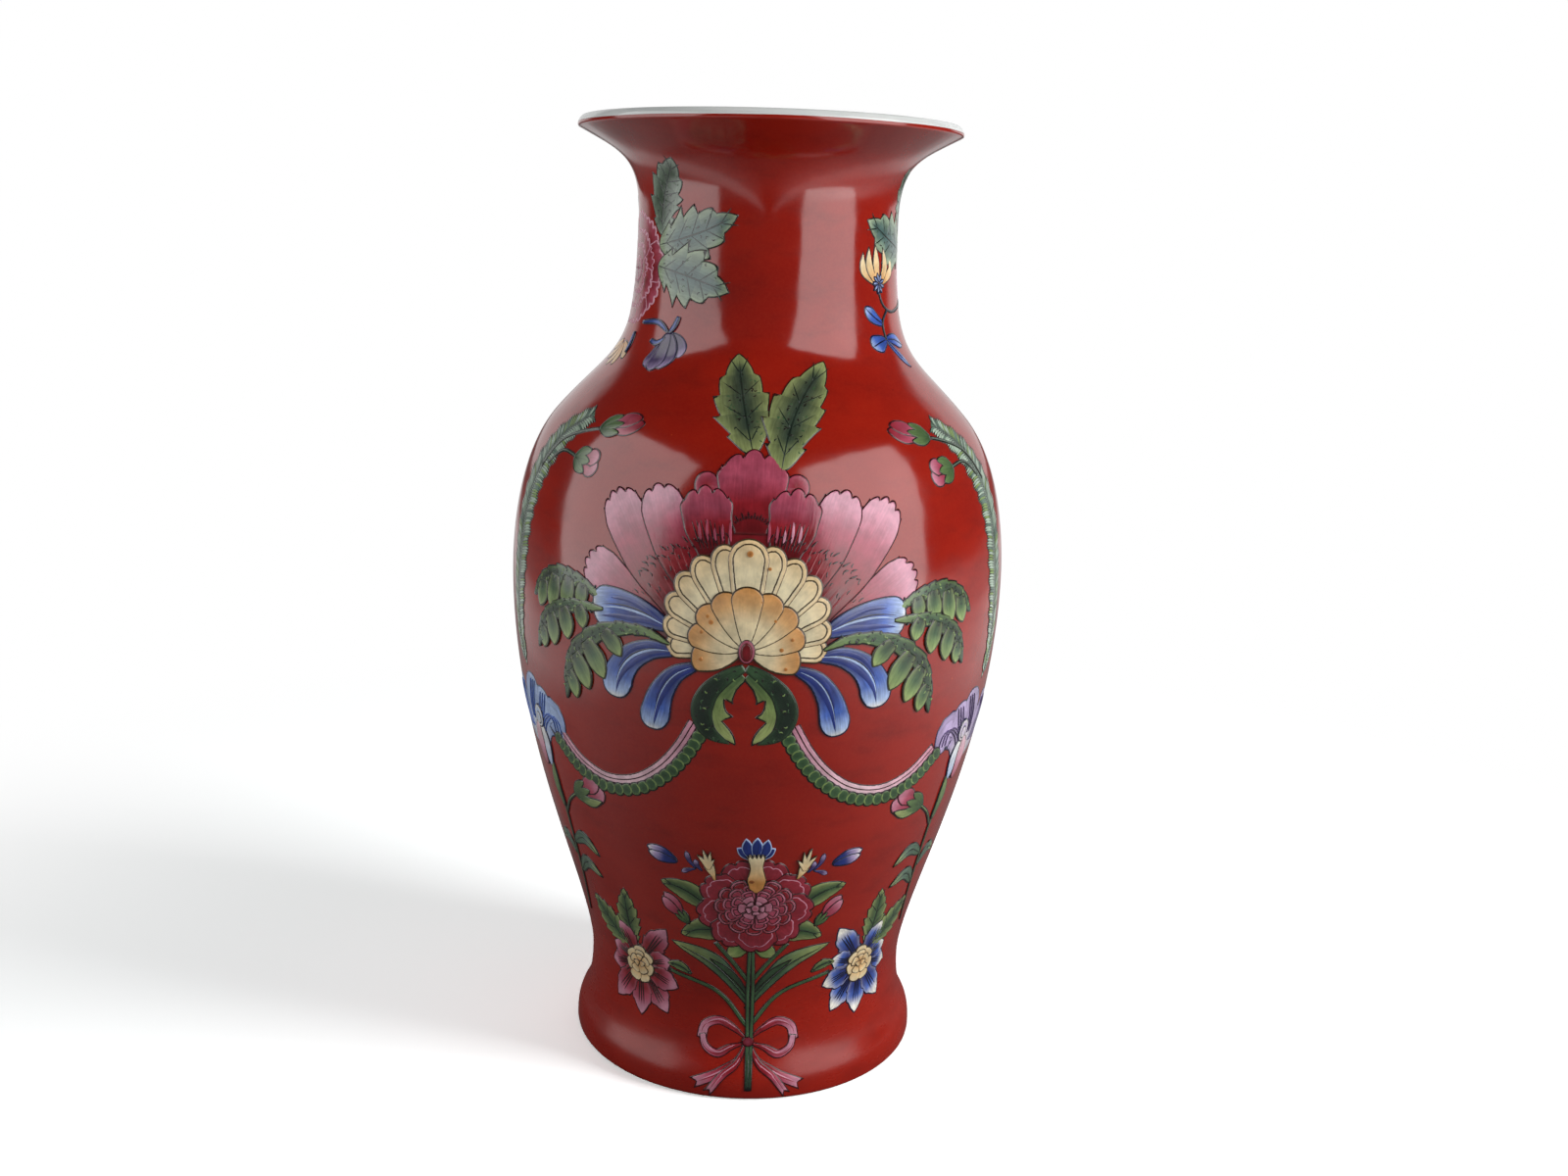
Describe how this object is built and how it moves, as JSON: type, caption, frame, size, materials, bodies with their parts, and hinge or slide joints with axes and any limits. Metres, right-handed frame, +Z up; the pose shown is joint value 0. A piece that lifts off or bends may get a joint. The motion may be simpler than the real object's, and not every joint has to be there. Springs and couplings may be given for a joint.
{
  "type": "baluster vase",
  "caption": "Tall porcelain baluster vase with a flared mouth, spreading foot, glossy coral-red ground and raised floral enamels.",
  "frame": {"origin": "centre of the circle on which the foot stands", "axes": "+Z up along the vase's axis of revolution; the main painted face looks towards -Y, its copy towards +Y"},
  "size_m": [0.2401, 0.2412, 0.4549],
  "materials": {
    "bare_porcelain": "matt white unglazed biscuit",
    "slip": "matt white fired slip",
    "white_glaze": "glossy white glaze with a faint cool tint",
    "coral_ground": "glossy iron-red enamel ground, slightly uneven",
    "green_enamel": "glossy raised green enamel, light to dark",
    "pink_enamel": "glossy raised rose enamel shaded from white to crimson",
    "crimson_enamel": "glossy raised crimson enamel with pale edges",
    "blue_enamel": "glossy raised blue enamel shaded to white",
    "cream_enamel": "glossy raised cream enamel with ochre shading",
    "grey_green_enamel": "glossy raised grey-green enamel"
  },
  "bodies": {
    "root": {"foot_ring": "bare_porcelain", "base_disc": "bare_porcelain", "base_slip_seam": "slip", "lower_body": "bare_porcelain", "upper_body": "bare_porcelain", "neck_section": "bare_porcelain", "mouth_section": "bare_porcelain", "waist_slip_seam": "slip", "belly_slip_seam": "slip", "shoulder_slip_seam": "slip", "throat_slip_seam": "slip", "interior_white_glaze": "white_glaze", "lip_white_glaze": "white_glaze", "base_white_glaze": "white_glaze", "coral_enamel_ground": "coral_ground", "front_crest_leaves": "green_enamel", "front_peony_fan": "pink_enamel", "front_lotus_flower": "cream_enamel", "front_blue_petals": "blue_enamel", "front_acanthus_leaves": "green_enamel", "front_curled_leaves": "green_enamel", "front_ribbon_swags": "pink_enamel", "front_bead_garlands": "green_enamel", "front_shoulder_buds": "pink_enamel", "front_feather_plumes": "grey_green_enamel", "front_iris_flowers": "blue_enamel", "front_bouquet_flower": "crimson_enamel", "front_bouquet_side_flowers": "crimson_enamel", "front_bouquet_leaves": "green_enamel", "front_bow": "pink_enamel", "front_neck_spray": "pink_enamel", "back_crest_leaves": "green_enamel", "back_peony_fan": "pink_enamel", "back_lotus_flower": "cream_enamel", "back_blue_petals": "blue_enamel", "back_acanthus_leaves": "green_enamel", "back_curled_leaves": "green_enamel", "back_ribbon_swags": "pink_enamel", "back_bead_garlands": "green_enamel", "back_shoulder_buds": "pink_enamel", "back_feather_plumes": "grey_green_enamel", "back_iris_flowers": "blue_enamel", "back_bouquet_flower": "crimson_enamel", "back_bouquet_side_flowers": "crimson_enamel", "back_bouquet_leaves": "green_enamel", "back_bow": "pink_enamel", "back_neck_spray": "pink_enamel"}
  },
  "joints": []
}
